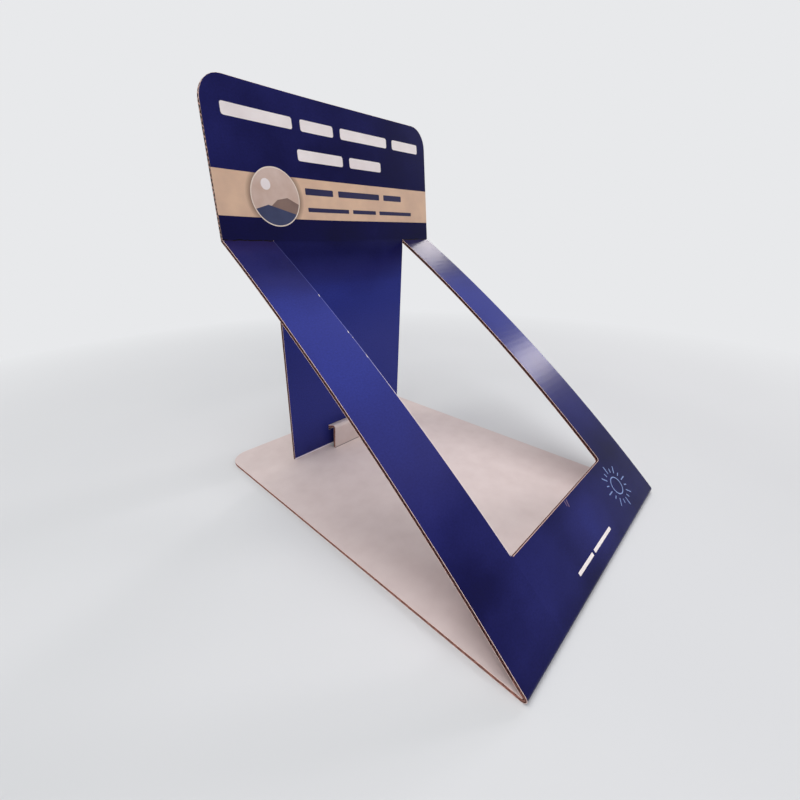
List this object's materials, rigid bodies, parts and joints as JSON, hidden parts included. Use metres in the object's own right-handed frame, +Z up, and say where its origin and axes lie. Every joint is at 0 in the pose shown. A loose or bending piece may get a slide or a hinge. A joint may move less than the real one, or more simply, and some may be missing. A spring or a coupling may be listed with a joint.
{
  "type": "cardboard display stand",
  "caption": "Counter display stand folded from one corrugated sheet: flat base, bowed front panel with a large window, upright header and a rear leg locked by a base flap.",
  "frame": {"origin": "centre of the stand's bounding box on the table, under the base", "axes": "+X across the stand, +Y from the front fold towards the back edge of the base, +Z up"},
  "size_m": [0.25, 0.347, 0.3289],
  "materials": {
    "board": "satin printed face, pale liner inside, brown fluted edges"
  },
  "bodies": {
    "root": {"folded_board": "board"}
  },
  "joints": []
}
